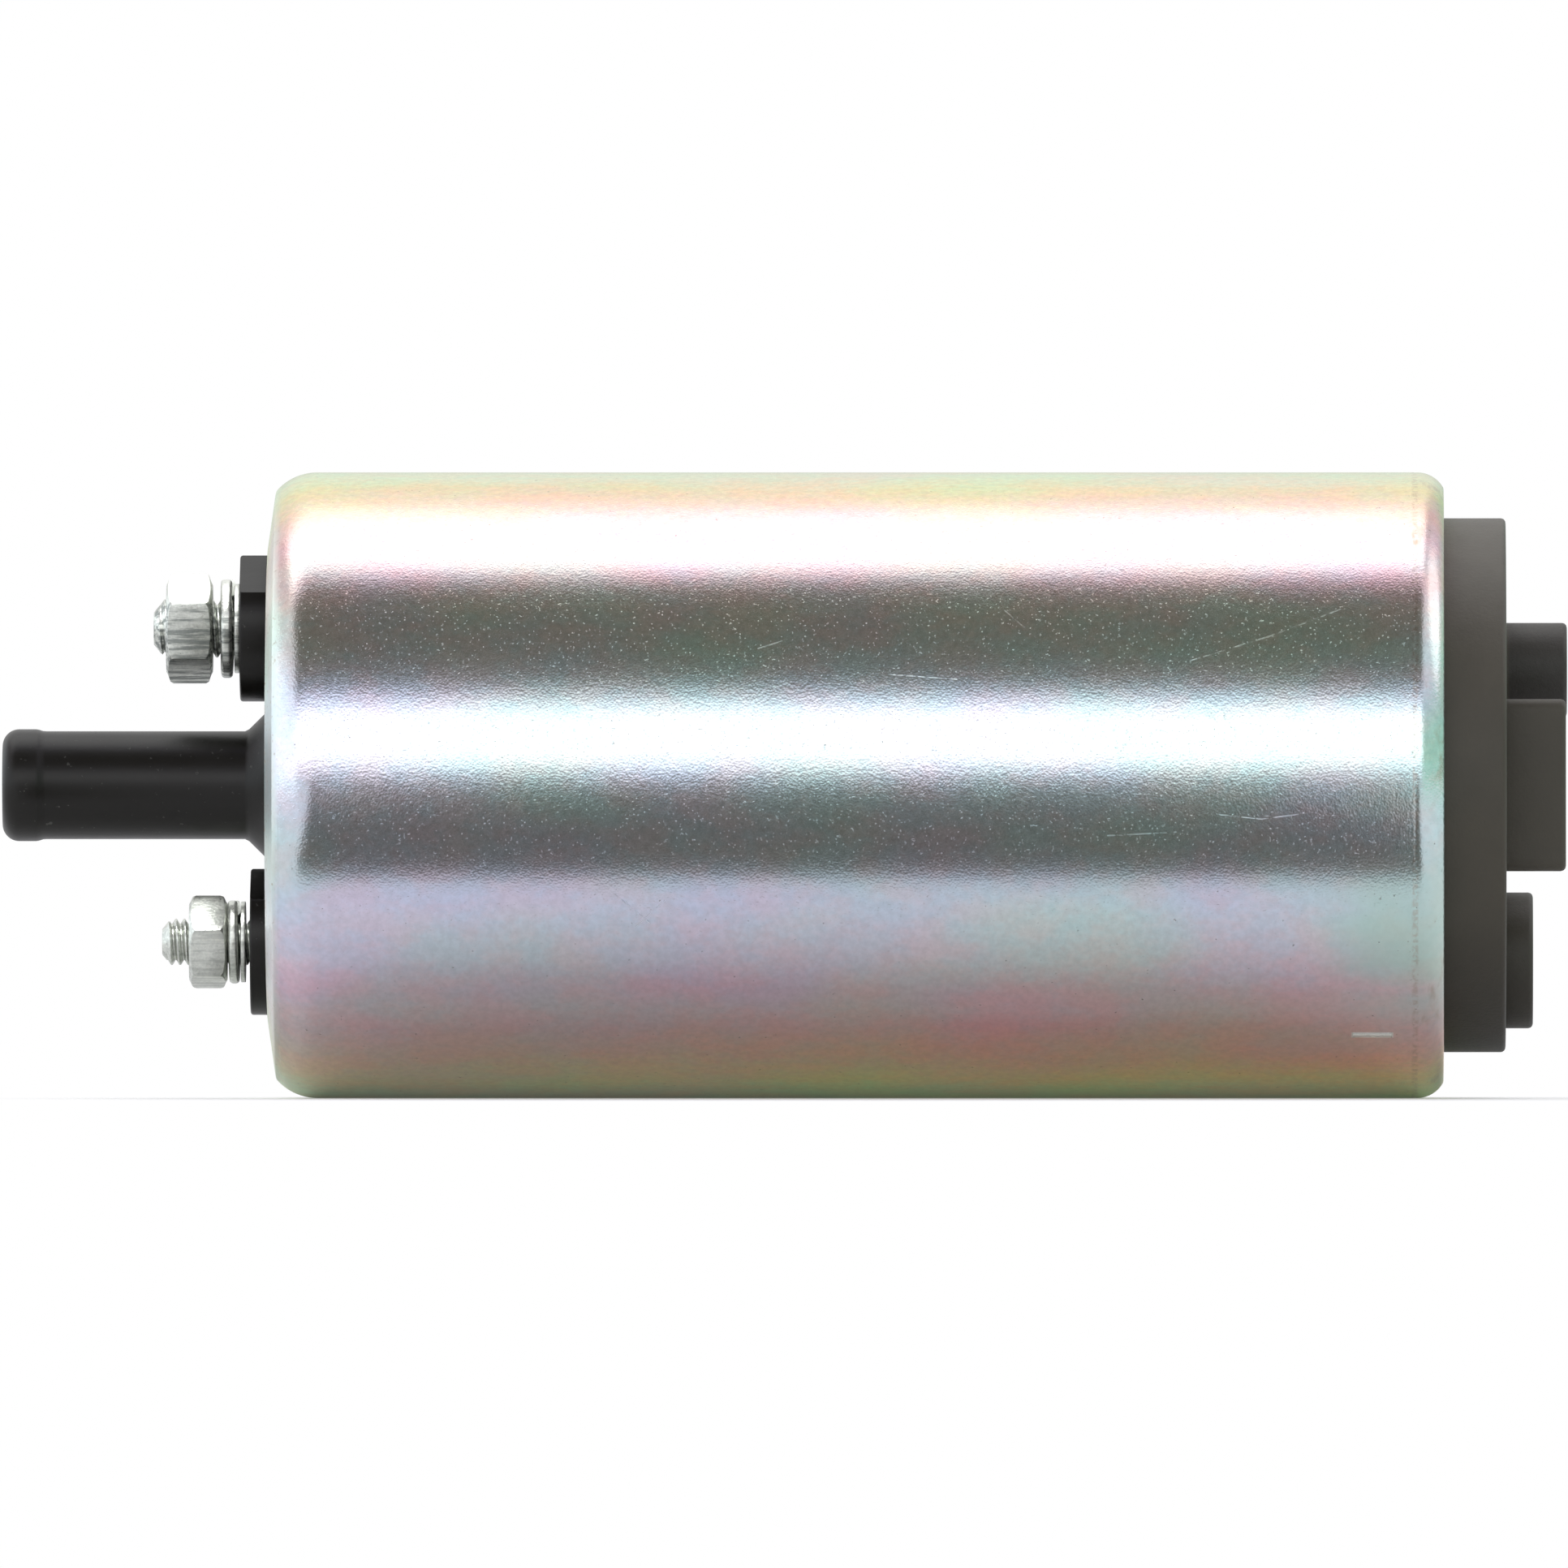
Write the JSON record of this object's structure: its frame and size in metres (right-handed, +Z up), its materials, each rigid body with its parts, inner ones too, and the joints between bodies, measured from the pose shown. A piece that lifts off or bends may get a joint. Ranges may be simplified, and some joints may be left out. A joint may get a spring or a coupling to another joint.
{
  "type": "in-tank fuel pump",
  "caption": "In-tank electric fuel pump with a crimped steel shell, an outlet hose nipple, two threaded terminals and a moulded inlet cover.",
  "frame": {"origin": "on the pump's axis, half way along the steel shell, where mount body_band is", "axes": "+X along the axis from the outlet nipple to the inlet cover, +Z up through the larger terminal, -Y towards the front view"},
  "size_m": [0.1313, 0.0524, 0.0524],
  "materials": {
    "plated_shell": "zinc plated steel with an iridescent chromate film",
    "gloss_cover": "black moulded plastic, semi-gloss",
    "matte_cover": "dark warm grey filled plastic, matte",
    "plated_fasteners": "bright zinc plated steel",
    "seal_rubber": "black moulded rubber",
    "copper": "bare copper",
    "enamelled_wire": "enamelled copper wire",
    "ferrite": "ground sintered ferrite",
    "brass": "turned and stamped brass",
    "valve_plastic": "natural moulded plastic",
    "spring_steel": "bright spring steel",
    "ground_steel": "ground and polished steel",
    "bronze": "oil-filled sintered bronze",
    "holder_plastic": "brown phenolic moulding",
    "carbon": "pressed carbon",
    "laminated_steel": "stacked electrical steel",
    "pressboard": "varnished pressboard",
    "impeller_plastic": "brown filled plastic",
    "cast_casing": "die-cast and machined"
  },
  "bodies": {
    "pump_body": {"housing_shell": "plated_shell", "outlet_cover": "gloss_cover", "outlet_cover_seal": "seal_rubber", "terminal_stud_m5": "plated_fasteners", "terminal_stud_m4": "plated_fasteners", "flat_washer_m5": "plated_fasteners", "flat_washer_m4": "plated_fasteners", "terminal_lead_m5": "copper", "terminal_lead_m4": "copper", "choke_core_rear": "ferrite", "choke_core_front": "ferrite", "choke_coil_rear": "enamelled_wire", "choke_coil_front": "enamelled_wire", "choke_lead_rear": "copper", "choke_lead_front": "copper", "check_valve_seat": "brass", "check_valve_spring": "spring_steel", "relief_valve_seat": "brass", "relief_valve_spring": "spring_steel", "relief_valve_cap": "brass", "outlet_bearing": "bronze", "brush_holder": "holder_plastic", "brush_cap_rear": "brass", "brush_cap_front": "brass", "brush_spring_rear": "spring_steel", "brush_spring_front": "spring_steel", "brush_shunt_rear": "copper", "brush_shunt_front": "copper", "magnet_upper": "ferrite", "magnet_lower": "ferrite", "magnet_clip_rear": "spring_steel", "magnet_clip_front": "spring_steel", "pump_casing": "cast_casing", "inlet_bearing": "bronze", "thrust_button": "ground_steel", "casing_seal": "seal_rubber", "pump_cover": "matte_cover"},
    "rotor": {"rotor_shaft": "ground_steel", "armature_core": "laminated_steel", "armature_windings": "enamelled_wire", "winding_insulators": "pressboard", "commutator_hub": "holder_plastic", "commutator_bars": "copper", "thrust_washers": "ground_steel", "impeller": "impeller_plastic"},
    "check_valve": {"check_valve_poppet": "valve_plastic", "check_valve_washer": "seal_rubber"},
    "relief_valve": {"relief_valve_ball": "ground_steel"},
    "rear_brush": {"brush_rear": "carbon"},
    "front_brush": {"brush_front": "carbon"},
    "m5_lock": {"lock_washer_m5": "plated_fasteners"},
    "m5_nut": {"nut_m5": "plated_fasteners"},
    "m4_lock": {"lock_washer_m4": "plated_fasteners"},
    "m4_nut": {"nut_m4": "plated_fasteners"}
  },
  "joints": [
    {"name": "rotor_spin", "type": "hinge", "parent": "pump_body", "child": "rotor", "pos_m": [0, 0, 0], "axis": [1, 0, 0], "continuous": true},
    {"name": "check_valve_lift", "type": "slide", "parent": "pump_body", "child": "check_valve", "axis": [-1, 0, 0], "range_m": [0, 0.003], "stiffness_N_per_m": 80, "springref_m": -0.003, "deforming": ["check_valve_spring"]},
    {"name": "relief_valve_lift", "type": "slide", "parent": "pump_body", "child": "relief_valve", "axis": [-1, 0, 0], "range_m": [0, 0.0012], "stiffness_N_per_m": 400, "springref_m": -0.002, "deforming": ["relief_valve_spring"]},
    {"name": "rear_brush_slide", "type": "slide", "parent": "pump_body", "child": "rear_brush", "axis": [0, 1, 0], "range_m": [0, 0.002], "stiffness_N_per_m": 150, "springref_m": -0.004, "deforming": ["brush_spring_rear", "brush_shunt_rear"]},
    {"name": "front_brush_slide", "type": "slide", "parent": "pump_body", "child": "front_brush", "axis": [0, -1, 0], "range_m": [0, 0.002], "stiffness_N_per_m": 150, "springref_m": -0.004, "deforming": ["brush_spring_front", "brush_shunt_front"]},
    {"name": "m5_nut_travel", "type": "slide", "parent": "pump_body", "child": "m5_lock", "axis": [-1, 0, 0], "range_m": [0, 0.004]},
    {"name": "m5_nut_turn", "type": "hinge", "parent": "m5_lock", "child": "m5_nut", "pos_m": [-0.0559, 0, 0.01315], "axis": [-1, 0, 0], "range_deg": [0, 1801]},
    {"name": "m4_nut_travel", "type": "slide", "parent": "pump_body", "child": "m4_lock", "axis": [-1, 0, 0], "range_m": [0, 0.0035]},
    {"name": "m4_nut_turn", "type": "hinge", "parent": "m4_lock", "child": "m4_nut", "pos_m": [-0.0543, 0, -0.01315], "axis": [-1, 0, 0], "range_deg": [0, 1801]}
  ],
  "couplings": [
    {"joint": "m5_nut_turn", "follows": "m5_nut_travel", "rad_per_m": 7854},
    {"joint": "m4_nut_turn", "follows": "m4_nut_travel", "rad_per_m": 8976}
  ]
}
